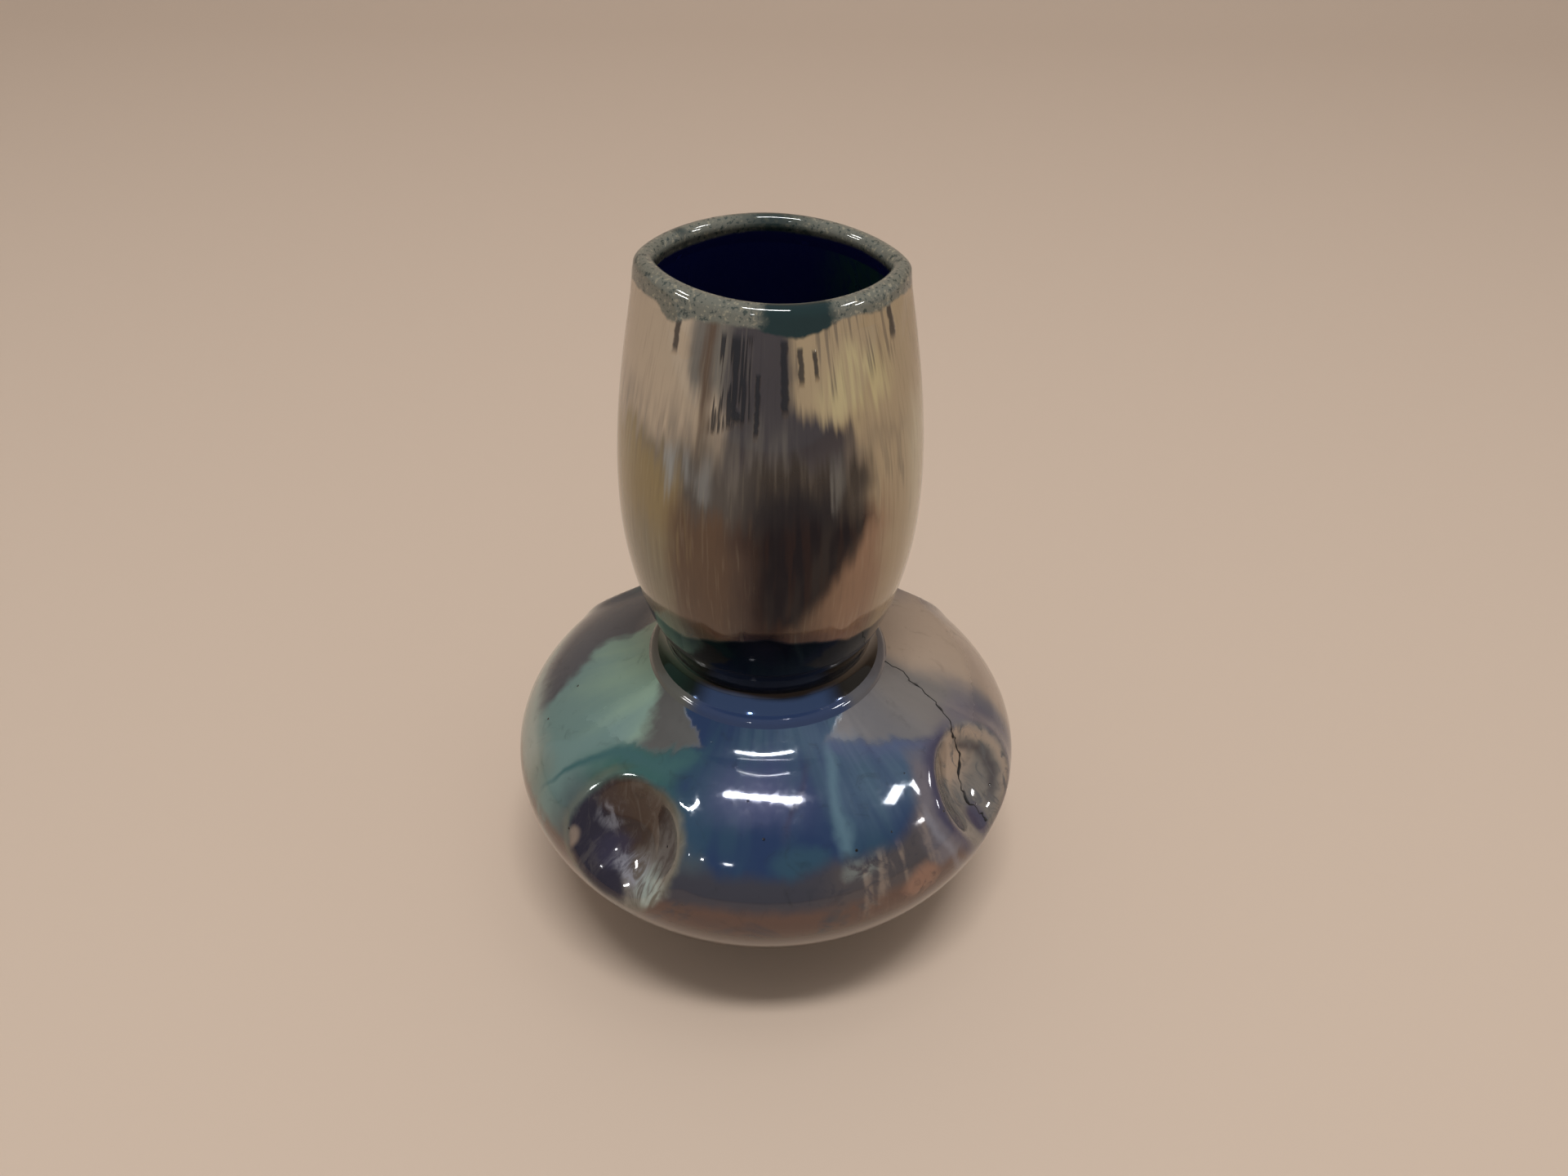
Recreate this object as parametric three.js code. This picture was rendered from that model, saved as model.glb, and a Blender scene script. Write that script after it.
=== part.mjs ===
// Dimpled stoneware vase: a squat belly with four pressed dimples, a barrel neck
// and a mouth pinched to a lens. Millimetres, +Z up, the front faces -Y.
// It is built in the sections it is thrown in, each under its coat of glaze.

import * as THREE from 'three';
import { mergeVertices } from 'three/addons/utils/BufferGeometryUtils.js';

// Heights, each measured from the end of the one before
const footHeight = 3;
const undersideHeight = 31;
const shoulderHeight = 16.3;
const coveHeight = 7.2;
const swellHeight = 28;
const taperHeight = 33.3;

// Outside radii at those heights
const footRadius = 18;
const footTopRadius = 17.2;
const bellyRadius = 42.5;
const shoulderRadius = 24.5;
const waistRadius = 16.4;
const neckRadius = 22.5;
const mouthRadius = 18.3;

// How far each curve runs on straight before it turns
const undersideRun = 12;
const bellyRunBelow = 10.5;
const bellyRunAbove = 9.6;
const shoulderRun = 6;
const coveRun = 3;
const waistRunBelow = 3;
const waistRunAbove = 1.6;
const neckRunBelow = 17.5;
const neckRunAbove = 12.5;
const mouthRun = 11.7;

// Slopes of the outline, in degrees from the level
const undersideSlope = 40;
const shoulderSlope = 16;
const mouthSlope = 79;

// Walls, coats and the clearance between one solid and the next
const glazeThickness = 0.5;
const seatGap = 0.3;
const bodyWall = 2.6;
const waistWall = 1.9;
const lipWidth = 2.5;
const floorThickness = 4.2;

// Foot ring
const footWidth = 4.6;
const footChamfer = 0.8;
const bareLine = 0.9;

// Thumb dimples round the upper belly, pressed by hand and not quite evenly spaced
const dimpleTurns = [52, 130, 237, 330];
const dimpleRise = 7.7;
const dimpleRadius = 10.3;
const dimpleDepth = 5.2;
const dimpleFullness = 2.4;
const dimpleLip = 0.9;
const dimpleLipWidth = 2.4;
const dimpleReach = 14;
const dimpleFade = 14;

// Mouth pinched from front and back into a lens with a point at each side, and lifted behind
const pinchDepth = 3.5;
const pinchHeight = 30;
const pinchFullness = 1.4;
const pinchOnset = 1.5;
const pinchTipSoftness = 0.07;
const lipLift = 1.25;
const lipLiftTurn = 120;

// Bead of slip where the neck is set on the shoulder
const collarShare = 0.555;
const beadWidth = 1.5;
const beadProud = 0.2;

// Thick glaze rolled over the lip, and the runs below its edge
const rollHeight = 2.9;
const rollInside = 3;
const longestRun = 6.4;
const runs = [
  { angle: 231, share: 0.65, spread: 12 },
  { angle: 262, share: 1, spread: 11 },
  { angle: 290, share: 0.5, spread: 16 },
  { angle: 335, share: 0.8, spread: 10 },
  { angle: 48, share: 0.7, spread: 12 },
  { angle: 121, share: 0.85, spread: 11 },
  { angle: 170, share: 0.55, spread: 13 },
];

// Facets round the vase: they gather at the dimples, and on the neck at the mouth's points
const facets = {
  belly: { count: 52, gathers: dimpleTurns, strength: 0.55 },
  neck: { count: 32, gathers: [0, 180], strength: 0.3 },
};
const fullTurn = 360;
const levelSlope = 0.3;
const weldDistance = 1e-5;
const halvings = 30;

// Heights of the outline above the table
const bellyZ = footHeight + undersideHeight;
const shoulderZ = bellyZ + shoulderHeight;
const waistZ = shoulderZ + coveHeight;
const neckZ = waistZ + swellHeight;
const lipZ = neckZ + taperHeight;

// Outline of the finished surface, from the foot to the lip

function slopeVector(degrees, direction) {
  const angle = THREE.MathUtils.degToRad(degrees);
  return new THREE.Vector2(direction * Math.cos(angle), Math.sin(angle));
}

function bezier(start, startHandle, endHandle, end) {
  return new THREE.CubicBezierCurve(
    start,
    start.clone().add(startHandle),
    end.clone().sub(endHandle),
    end,
  );
}

const up = (length) => new THREE.Vector2(0, length);
const footPoint = new THREE.Vector2(footTopRadius, footHeight);
const bellyPoint = new THREE.Vector2(bellyRadius, bellyZ);
const shoulderPoint = new THREE.Vector2(shoulderRadius, shoulderZ);
const waistPoint = new THREE.Vector2(waistRadius, waistZ);
const neckPoint = new THREE.Vector2(neckRadius, neckZ);
const lipPoint = new THREE.Vector2(mouthRadius, lipZ);
const shoulderLine = slopeVector(shoulderSlope, -1);

const outline = {
  underside: bezier(
    footPoint,
    slopeVector(undersideSlope, 1).multiplyScalar(undersideRun),
    up(bellyRunBelow),
    bellyPoint,
  ),
  shoulder: bezier(
    bellyPoint,
    up(bellyRunAbove),
    shoulderLine.clone().multiplyScalar(shoulderRun),
    shoulderPoint,
  ),
  cove: bezier(
    shoulderPoint,
    shoulderLine.clone().multiplyScalar(coveRun),
    up(waistRunBelow),
    waistPoint,
  ),
  swell: bezier(waistPoint, up(waistRunAbove), up(neckRunBelow), neckPoint),
  taper: bezier(
    neckPoint,
    up(neckRunAbove),
    slopeVector(mouthSlope, -1).multiplyScalar(mouthRun),
    lipPoint,
  ),
};

// A station is a point of the outline with its tangent and its inward normal
function station(curve, share) {
  const point = curve.getPoint(share);
  const along = curve.getTangent(share);
  return { point, along, inward: new THREE.Vector2(-along.y, along.x) };
}

function stationsOn(curve, from, to, count) {
  const stride = (to - from) / count;
  return Array.from({ length: count + 1 }, (_, i) => station(curve, from + stride * i));
}

function shareAtHeight(curve, height) {
  let low = 0;
  let high = 1;
  for (let i = 0; i < halvings; i++) {
    const middle = (low + high) / 2;
    if (curve.getPoint(middle).y < height) low = middle;
    else high = middle;
  }
  return (low + high) / 2;
}

function slide(place, distance) {
  return { ...place, point: place.point.clone().addScaledVector(place.along, distance) };
}

// Joins runs of stations, leaving out the station that two runs share
function chain(...parts) {
  return parts.reduce((all, part) => all.concat(all.length ? part.slice(1) : part), []);
}

// Draws both ends of a run in by half a clearance, where it meets its neighbour
function easeEnds(stations, atStart, atEnd) {
  const eased = stations.slice();
  const last = eased.length - 1;
  if (atStart) eased[0] = slide(eased[0], seatGap / 2);
  if (atEnd) eased[last] = slide(eased[last], -seatGap / 2);
  return eased;
}

function inset(stations, depth) {
  return stations.map((place) => {
    const amount = typeof depth === 'function' ? depth(place.point.y) : depth;
    return place.point.clone().addScaledVector(place.inward, amount);
  });
}

// Depths below the finished surface at which each layer begins or ends
const clayOuter = glazeThickness + seatGap;
const lipClay = lipWidth - 2 * clayOuter;

function clayWall(height) {
  if (height <= shoulderZ) return bodyWall;
  if (height <= waistZ) {
    return THREE.MathUtils.mapLinear(height, shoulderZ, waistZ, bodyWall, waistWall);
  }
  return THREE.MathUtils.mapLinear(height, waistZ, lipZ, waistWall, lipClay);
}

const clayInner = (height) => clayOuter + clayWall(height);
const liningOuter = (height) => clayInner(height) + seatGap;
const liningInner = (height) => liningOuter(height) + glazeThickness;

// Pressing: the dimples are pushed in along their own axes, the mouth is pinched

function dimpleFrames() {
  const place = station(outline.shoulder, shareAtHeight(outline.shoulder, bellyZ + dimpleRise));
  return dimpleTurns.map((degrees) => {
    const angle = THREE.MathUtils.degToRad(degrees);
    const turn = new THREE.Vector2(Math.cos(angle), Math.sin(angle));
    const { point, inward } = place;
    return {
      centre: new THREE.Vector3(point.x * turn.x, point.x * turn.y, point.y),
      axis: new THREE.Vector3(-inward.x * turn.x, -inward.x * turn.y, -inward.y),
      upslope: new THREE.Vector3(inward.y * turn.x, inward.y * turn.y, -inward.x),
    };
  });
}

const dimples = dimpleFrames();

// The bowl, and round it a ridge that is highest on the neck's side
function dimpleShift(distance, upward) {
  const share = Math.min(distance / dimpleRadius, 1);
  const bowl = (1 - share ** dimpleFullness) ** 2;
  const ridge = Math.exp(-(((distance - dimpleRadius) / dimpleLipWidth) ** 2));
  const highness = (1 + upward / Math.max(distance, weldDistance)) / 2;
  return dimpleLip * ridge * highness - dimpleDepth * bowl;
}

function pinchShift(angle, strength) {
  const side = Math.hypot(Math.sin(angle), pinchTipSoftness) - pinchTipSoftness;
  const lens = 1 - (1 - Math.min(side, 1)) ** pinchFullness;
  return pinchDepth * lens * strength;
}

function liftShift(angle, strength) {
  const away = Math.cos(angle - THREE.MathUtils.degToRad(lipLiftTurn));
  return (lipLift * (1 + away) * strength) / 2;
}

function press(radius, angle, height) {
  const strength = Math.max((height - lipZ) / pinchHeight + 1, 0) ** pinchOnset;
  const pinched = radius - pinchShift(angle, strength);
  const base = new THREE.Vector3(
    pinched * Math.cos(angle),
    pinched * Math.sin(angle),
    height + liftShift(angle, strength),
  );
  const point = base.clone();
  for (const { centre, axis, upslope } of dimples) {
    const away = base.clone().sub(centre);
    const along = away.dot(axis);
    const distance = away.addScaledVector(axis, -along).length();
    const near = THREE.MathUtils.smoothstep(along, -dimpleReach - dimpleFade, -dimpleReach);
    point.addScaledVector(axis, near * dimpleShift(distance, away.dot(upslope)));
  }
  return point;
}

// Columns of facets, which stand closer together where they gather: each has its angle and
// tells whether it leaves the gather behind it or nears the next
function facetColumns({ count, gathers, strength }) {
  return gathers.flatMap((start, i) => {
    const gap = (gathers[(i + 1) % gathers.length] - start + fullTurn) % fullTurn;
    const columns = Math.round((count * gap) / fullTurn);
    return Array.from({ length: columns }, (_, j) => {
      const even = (2 * Math.PI * j) / columns;
      const share = (even - strength * Math.sin(even)) / (2 * Math.PI);
      return { angle: THREE.MathUtils.degToRad(start + gap * share), leaves: 2 * j + 1 < columns };
    });
  });
}

// Makes a closed solid of revolution from the section that loopAt gives for each angle
// A section is a closed loop, or it starts and ends on the axis
function turned(loopAt, columns) {
  const spokes = facetColumns(columns);
  const sections = spokes.map(({ angle }) => loopAt(angle));
  const points = sections.map((section, i) => {
    return section.map(({ x, y }) => press(x, spokes[i].angle, y));
  });
  const rows = sections[0].length;
  const bands = sections[0][0].x === 0 ? rows - 1 : rows;
  const index = [];
  for (let i = 0; i < spokes.length; i++) {
    const here = i * rows;
    const next = ((i + 1) % spokes.length) * rows;
    for (let j = 0; j < bands; j++) {
      const k = (j + 1) % rows;
      const edge = [sections[i][j], sections[i][k]];
      if (rises(...edge) === ringsDimple(spokes[i].leaves, ...edge)) {
        index.push(here + j, next + j, here + k, next + j, next + k, here + k);
      } else {
        index.push(here + j, next + j, next + k, here + j, next + k, here + k);
      }
    }
  }
  const geometry = new THREE.BufferGeometry();
  const positions = points.flat().flatMap((point) => point.toArray());
  geometry.setAttribute('position', new THREE.Float32BufferAttribute(positions, 3));
  geometry.setIndex(index);
  return withoutSlivers(mergeVertices(geometry, weldDistance));
}

// Two tests that choose a quad's diagonal, so that it runs round the nearest dimple
// and the faces of two layers that lie together fold alike
function rises(from, to) {
  return to.y - from.y > levelSlope * (to.x - from.x);
}

function ringsDimple(leaves, from, to) {
  const above = (from.y + to.y) / 2 > bellyZ + dimpleRise;
  return above === leaves;
}

// Drops the triangles that collapsed where a section meets the axis
function withoutSlivers(geometry) {
  const kept = [];
  const { array } = geometry.index;
  for (let i = 0; i < array.length; i += 3) {
    const [a, b, c] = array.slice(i, i + 3);
    if (a !== b && b !== c && c !== a) kept.push(a, b, c);
  }
  geometry.setIndex(kept);
  geometry.computeVertexNormals();
  return geometry;
}

function shell(outerStations, innerStations, outerDepth, innerDepth) {
  return [...inset(outerStations, outerDepth), ...inset(innerStations, innerDepth).reverse()];
}

const onAxis = (height) => new THREE.Vector2(0, height);

// Stations shared by the layers, fine on the outside and coarser on the inside
const steps = {
  outside: { underside: 7, shoulder: 8, coveBelow: 2, coveAbove: 2, swell: 4, taper: 4 },
  inside: { underside: 4, shoulder: 4, coveBelow: 1, coveAbove: 1, swell: 2, taper: 3 },
  lip: 4,
};

function bellyStations(count) {
  return {
    underside: stationsOn(outline.underside, 0, 1, count.underside),
    shoulder: chain(
      stationsOn(outline.shoulder, 0, 1, count.shoulder),
      stationsOn(outline.cove, 0, collarShare, count.coveBelow),
    ),
  };
}

function neckStations(count, from, taperEnd) {
  return chain(
    stationsOn(outline.cove, from, 1, count.coveAbove),
    stationsOn(outline.swell, 0, 1, count.swell),
    stationsOn(outline.taper, 0, taperEnd, count.taper),
  );
}

const beadShare = beadWidth / 2 / outline.cove.getLength();
const outerBelly = bellyStations(steps.outside);
const innerBelly = bellyStations(steps.inside);

// Foot ring, turned from the bare clay
function footRingLoop() {
  const inner = footRadius - footWidth;
  return [
    new THREE.Vector2(inner, footHeight),
    new THREE.Vector2(inner, footChamfer),
    new THREE.Vector2(inner + footChamfer, 0),
    new THREE.Vector2(footRadius - footChamfer, 0),
    new THREE.Vector2(footRadius, footChamfer),
    new THREE.Vector2(footTopRadius, footHeight),
  ];
}

// Lower half of the belly, with the floor
const floorZ = footHeight + floorThickness;
const wellShare = shareAtHeight(outline.underside, floorZ);

function wellStations(count) {
  return stationsOn(outline.underside, wellShare, 1, count.underside);
}

function bowlLoop() {
  const outside = easeEnds(outerBelly.underside, false, true);
  const inside = easeEnds(wellStations(steps.inside), false, true);
  const floorEdge = inset(inside, clayInner)[0];
  return [
    onAxis(footHeight),
    new THREE.Vector2(footTopRadius - clayOuter, footHeight),
    ...inset(outside, clayOuter).slice(1),
    ...inset(inside, clayInner).reverse().slice(0, -1),
    new THREE.Vector2(floorEdge.x, floorZ),
    onAxis(floorZ),
  ];
}

// Upper half of the belly, up to the collar
function shoulderLoop() {
  const outside = easeEnds(outerBelly.shoulder, true, true);
  const inside = easeEnds(innerBelly.shoulder, true, true);
  return shell(outside, inside, clayOuter, clayInner);
}

// Barrel of the neck, from the collar to a rounded lip
function neckLoop() {
  const outside = easeEnds(neckStations(steps.outside, collarShare, 1), true, false);
  const inside = easeEnds(neckStations(steps.inside, collarShare, 1), true, false);
  const { point, along, inward } = outside[outside.length - 1];
  const crest = point.clone()
    .addScaledVector(inward, lipWidth / 2)
    .addScaledVector(along, lipClay / 2);
  return [...inset(outside, clayOuter), crest, ...inset(inside, clayInner).reverse()];
}

// Coat over the belly, from the bare line above the foot to the bead
function bellyCoatLoop() {
  const all = chain(
    outerBelly.underside,
    stationsOn(outline.shoulder, 0, 1, steps.outside.shoulder),
    stationsOn(outline.cove, 0, collarShare - beadShare, steps.outside.coveBelow),
  );
  all[0] = slide(all[0], bareLine);
  const coat = easeEnds(all, false, true);
  return shell(coat, coat, 0, glazeThickness);
}

// Bead of slip in the line between the two coats
function beadLoop() {
  const ring = easeEnds(
    stationsOn(outline.cove, collarShare - beadShare, collarShare + beadShare, 2),
    true,
    true,
  );
  const proud = [0, -beadProud, 0];
  const crown = ring.map((place, i) => inset([place], proud[i])[0]);
  return [...crown, ...inset(ring, glazeThickness).reverse()];
}

// Height of the lower edge of the lip's glaze, lower where it has run
function rollEdge(angle) {
  const degrees = THREE.MathUtils.radToDeg(angle);
  const run = runs.reduce((sum, { angle: at, share, spread }) => {
    const turn = THREE.MathUtils.euclideanModulo(degrees - at, fullTurn);
    const apart = Math.min(turn, fullTurn - turn);
    return sum + longestRun * share * Math.exp(-((apart / spread) ** 2));
  }, 0);
  return lipZ - rollHeight - run;
}

// Coat over the neck, from the bead up to the edge of the roll
function neckCoatLoop(angle) {
  const end = shareAtHeight(outline.taper, rollEdge(angle));
  const all = neckStations(steps.outside, collarShare + beadShare, end);
  const coat = easeEnds(all, true, true);
  return shell(coat, coat, 0, glazeThickness);
}

// Half circle over the lip, at the given depth below the finished surface
function lipArc(depth) {
  const { point, along, inward } = station(outline.taper, 1);
  const middle = point.clone().addScaledVector(inward, lipWidth / 2);
  const radius = lipWidth / 2 - depth;
  return Array.from({ length: steps.lip - 1 }, (_, i) => {
    const turn = (Math.PI * (i + 1)) / steps.lip;
    return middle.clone()
      .addScaledVector(inward, -radius * Math.cos(turn))
      .addScaledVector(along, radius * Math.sin(turn));
  });
}

// Glaze rolled over the lip, down both sides
function rollLoop(angle) {
  const edge = shareAtHeight(outline.taper, rollEdge(angle));
  const insideEdge = shareAtHeight(outline.taper, lipZ - rollInside);
  const outside = easeEnds(stationsOn(outline.taper, edge, 1, 2), true, false);
  const inside = easeEnds(stationsOn(outline.taper, insideEdge, 1, 1), true, false);
  return [
    ...inset(outside, 0),
    ...lipArc(0),
    ...inset(inside, liningInner).reverse(),
    ...inset(inside, liningOuter),
    ...lipArc(glazeThickness).reverse(),
    ...inset(outside, glazeThickness).reverse(),
  ];
}

// Cobalt lining, from the roll down the bore and over the floor
function liningLoop() {
  const insideEdge = shareAtHeight(outline.taper, lipZ - rollInside);
  const wall = easeEnds(
    chain(
      wellStations(steps.inside),
      stationsOn(outline.shoulder, 0, 1, steps.inside.shoulder),
      stationsOn(outline.cove, 0, collarShare, steps.inside.coveBelow),
      neckStations(steps.inside, collarShare, insideEdge),
    ),
    false,
    true,
  );
  const outer = inset(wall, liningOuter);
  const inner = inset(wall, liningInner);
  const lowZ = floorZ + seatGap;
  const highZ = lowZ + glazeThickness;
  return [
    onAxis(lowZ),
    new THREE.Vector2(outer[0].x, lowZ),
    ...outer.slice(1),
    ...inner.reverse().slice(0, -1),
    new THREE.Vector2(inner[inner.length - 1].x, highZ),
    onAxis(highZ),
  ];
}

// Assembly

const vase = new THREE.Group();

const finishes = {
  bareClay: { color: 0x9a8468, roughness: 0.85, metalness: 0 },
  wallClay: { color: 0xb09a7c, roughness: 0.8, metalness: 0 },
  slip: { color: 0x6a6a52, roughness: 0.3, metalness: 0.1 },
  bodyLustre: { color: 0x3b4760, roughness: 0.12, metalness: 0.35 },
  neckLustre: { color: 0x6d6442, roughness: 0.12, metalness: 0.35 },
  lipGreen: { color: 0x24382f, roughness: 0.1, metalness: 0.25 },
  cobalt: { color: 0x141f5c, roughness: 0.15, metalness: 0.2 },
};

function addPiece(name, loopAt, columns, finish) {
  const piece = new THREE.Mesh(turned(loopAt, columns), new THREE.MeshStandardMaterial(finish));
  piece.name = name;
  vase.add(piece);
}

addPiece('foot_ring', footRingLoop, facets.neck, finishes.bareClay);
addPiece('body_bowl', bowlLoop, facets.belly, finishes.wallClay);
addPiece('body_shoulder', shoulderLoop, facets.belly, finishes.wallClay);
addPiece('neck_barrel', neckLoop, facets.neck, finishes.wallClay);
addPiece('collar_bead', beadLoop, facets.neck, finishes.slip);
addPiece('body_glaze', bellyCoatLoop, facets.belly, finishes.bodyLustre);
addPiece('neck_glaze', neckCoatLoop, facets.neck, finishes.neckLustre);
addPiece('lip_glaze', rollLoop, facets.neck, finishes.lipGreen);
addPiece('inner_glaze', liningLoop, facets.belly, finishes.cobalt);

export default vase;
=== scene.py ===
import math
import random
from types import SimpleNamespace

import bmesh
import bpy
from mathutils import Matrix, Vector


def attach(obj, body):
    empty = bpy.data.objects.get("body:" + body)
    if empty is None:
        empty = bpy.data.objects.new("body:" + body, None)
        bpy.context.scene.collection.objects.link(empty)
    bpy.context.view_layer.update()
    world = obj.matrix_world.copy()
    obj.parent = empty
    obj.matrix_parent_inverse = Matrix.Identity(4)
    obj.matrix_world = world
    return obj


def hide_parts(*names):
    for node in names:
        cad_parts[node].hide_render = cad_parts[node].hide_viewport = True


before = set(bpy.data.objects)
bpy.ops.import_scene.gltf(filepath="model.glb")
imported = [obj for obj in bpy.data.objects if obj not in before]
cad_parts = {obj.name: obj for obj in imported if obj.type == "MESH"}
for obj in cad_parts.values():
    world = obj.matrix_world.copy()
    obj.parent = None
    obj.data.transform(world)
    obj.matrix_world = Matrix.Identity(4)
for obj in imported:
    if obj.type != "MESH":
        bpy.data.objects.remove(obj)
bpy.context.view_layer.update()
scene = bpy.context.scene
metre = 0.001  # metres in a millimetre
print("vase: frame loaded, nodes", len(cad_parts))


# Nodes written as sums

class Value:
    def __init__(self, nodes, socket):
        self.nodes = nodes
        self.socket = socket

    def also(self, output):  # another output of the same node
        return Value(self.nodes, self.socket.node.outputs[output])

    def __add__(self, other):
        return self.nodes.maths("ADD", self, other)

    def __radd__(self, other):
        return self.nodes.maths("ADD", other, self)

    def __sub__(self, other):
        return self.nodes.maths("SUBTRACT", self, other)

    def __rsub__(self, other):
        return self.nodes.maths("SUBTRACT", other, self)

    def __mul__(self, other):
        return self.nodes.maths("MULTIPLY", self, other)

    def __rmul__(self, other):
        return self.nodes.maths("MULTIPLY", other, self)

    def __truediv__(self, other):
        return self.nodes.maths("DIVIDE", self, other)

    def __rtruediv__(self, other):
        return self.nodes.maths("DIVIDE", other, self)

    def __pow__(self, other):
        return self.nodes.maths("POWER", self, other)

    def __abs__(self):
        return self.nodes.maths("ABSOLUTE", self)

    def atLeast(self, other):
        return self.nodes.maths("MAXIMUM", self, other)

    def atMost(self, other):
        return self.nodes.maths("MINIMUM", self, other)

    def root(self):
        return self.nodes.maths("SQRT", self)

    def smooth(self, low, high):  # 0 at low and 1 at high, either way round
        settings = {"interpolation_type": "SMOOTHSTEP"}
        values = {"Value": self, "From Min": low, "From Max": high}
        return self.nodes.add("ShaderNodeMapRange", settings, values)

    def hump(self, middle, width):  # 1 at the middle, 0 a width away
        return abs(self - middle).smooth(width, 0.0)


class Paint:  # a colour that coats are laid over: named tones, other paints or plain colours
    def __init__(self, nodes, base):
        self.nodes = nodes
        self.colour = self.found(base)

    def found(self, colour):
        if isinstance(colour, Paint):
            return colour.colour
        return self.nodes.tones[colour] if isinstance(colour, str) else colour

    def coat(self, colour, share):
        values = {0: share, 6: self.colour, 7: self.found(colour)}
        self.colour = self.nodes.add("ShaderNodeMix", {"data_type": "RGBA"}, values, 2)
        return self


class NodeMaker:
    def __init__(self, nodeTree, tones=None):
        self.nodeTree = nodeTree
        self.tones = tones

    def add(self, kind, settings, values, output=0):
        node = self.nodeTree.nodes.new(kind)
        for name, setting in settings.items():
            setattr(node, name, setting)
        for name, value in values.items():
            if isinstance(value, Paint):
                value = value.colour
            if isinstance(value, Value):
                self.nodeTree.links.new(value.socket, node.inputs[name])
            else:
                node.inputs[name].default_value = value
        return Value(self, node.outputs[output]) if node.outputs else node

    def maths(self, operation, *operands):
        values = dict(enumerate(operands))
        return self.add("ShaderNodeMath", {"operation": operation}, values)

    def vectorMaths(self, operation, *operands):
        values = dict(enumerate(operands))
        output = "Value" if operation in ("DOT_PRODUCT", "LENGTH") else "Vector"
        return self.add("ShaderNodeVectorMath", {"operation": operation}, values, output)

    def scaled(self, vector, factor):
        settings = {"operation": "SCALE"}
        return self.add("ShaderNodeVectorMath", settings, {0: vector, "Scale": factor})

    def joined(self, x, y, z):
        return self.add("ShaderNodeCombineXYZ", {}, {0: x, 1: y, 2: z})

    def split(self, vector):
        x = self.add("ShaderNodeSeparateXYZ", {}, {0: vector})
        return x, x.also("Y"), x.also("Z")

    def noise(self, vector, scale, detail=3.0, roughness=0.5, twist=0.0):
        values = {"Vector": vector, "Scale": scale, "Detail": detail}
        values.update({"Roughness": roughness, "Distortion": twist})
        return self.add("ShaderNodeTexNoise", {}, values)

    def paint(self, base):
        return Paint(self, base)


def tone(red, green, blue):  # a colour as it is seen on a screen, 0 to 255
    def linear(level):
        level /= 255
        return level / 12.92 if level <= 0.04045 else ((level + 0.055) / 1.055) ** 2.4
    return (linear(red), linear(green), linear(blue), 1.0)


# Outline of the vase, shared by all its pieces

outlineSizes = {
    "heights": {"foot": 3, "belly": 34, "shoulder": 50.3, "waist": 57.5, "neck": 85.5, "lip": 118.8},
    "radii": {"foot": 17.2, "belly": 42.5, "shoulder": 24.5, "waist": 16.4, "neck": 22.5, "lip": 18.3},
    "underside": {"slope": 40, "run": 12, "runBelow": 10.5},
    "shoulder": {"slope": 16, "runAbove": 9.6, "run": 6},
    "cove": {"run": 3, "runBelow": 3},
    "swell": {"runAbove": 1.6, "runBelow": 17.5},
    "taper": {"runAbove": 12.5, "slope": 79, "run": 11.7},
    "collarShare": 0.555,
    "footRadius": 18,
    "glaze": 0.5,
    "gap": 0.3,
    "bodyWall": 2.6,
    "waistWall": 1.9,
    "lipWidth": 2.5,
    "floor": 4.2,
}
heights = outlineSizes["heights"]
clayDepth = outlineSizes["glaze"] + outlineSizes["gap"]


def outlinePoint(place):
    return Vector((outlineSizes["radii"][place], heights[place]))


def slopeLine(degrees, direction, length):
    angle = math.radians(degrees)
    return Vector((direction * math.cos(angle), math.sin(angle))) * length


def outlineCurves():
    foot, belly, shoulder = (outlinePoint(place) for place in ("foot", "belly", "shoulder"))
    waist, neck, lip = (outlinePoint(place) for place in ("waist", "neck", "lip"))
    under, upper, cove = (outlineSizes[name] for name in ("underside", "shoulder", "cove"))
    swell, taper = outlineSizes["swell"], outlineSizes["taper"]
    up = Vector((0, 1))
    return {
        "underside": (foot, foot + slopeLine(under["slope"], 1, under["run"]),
                      belly - up * under["runBelow"], belly),
        "shoulder": (belly, belly + up * upper["runAbove"],
                     shoulder - slopeLine(upper["slope"], -1, upper["run"]), shoulder),
        "cove": (shoulder, shoulder + slopeLine(upper["slope"], -1, cove["run"]),
                 waist - up * cove["runBelow"], waist),
        "swell": (waist, waist + up * swell["runAbove"], neck - up * swell["runBelow"], neck),
        "taper": (neck, neck + up * taper["runAbove"],
                  lip - slopeLine(taper["slope"], -1, taper["run"]), lip),
    }


curves = outlineCurves()


def station(name, share):  # a point of the outline, its direction and the way in
    a, b, c, d = curves[name]
    back = 1 - share
    point = a * back ** 3 + b * (3 * back * back * share) + c * (3 * back * share * share) + d * share ** 3
    along = ((b - a) * back * back + (c - b) * (2 * back * share) + (d - c) * share * share).normalized()
    return point, along, Vector((-along.y, along.x))


def shareAt(name, height):
    low, high = 0.0, 1.0
    for _ in range(30):
        middle = (low + high) / 2
        low, high = (middle, high) if station(name, middle)[0].y < height else (low, middle)
    return low


def stations(name, start, end, count):
    return [station(name, start + (end - start) * i / count) for i in range(count + 1)]


def wallFrom(counts, **spans):  # stations along the named curves, each from one share to another
    places = []
    for name, (start, end) in spans.items():
        run = stations(name, start, end, counts[name])
        places += run[1:] if places else run
    return places


def slid(place, distance):
    point, along, inward = place
    return point + along * distance, along, inward


def inset(places, depth):
    depthAt = depth if callable(depth) else lambda height: depth
    return [point + inward * depthAt(point.y) for point, along, inward in places]


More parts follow.
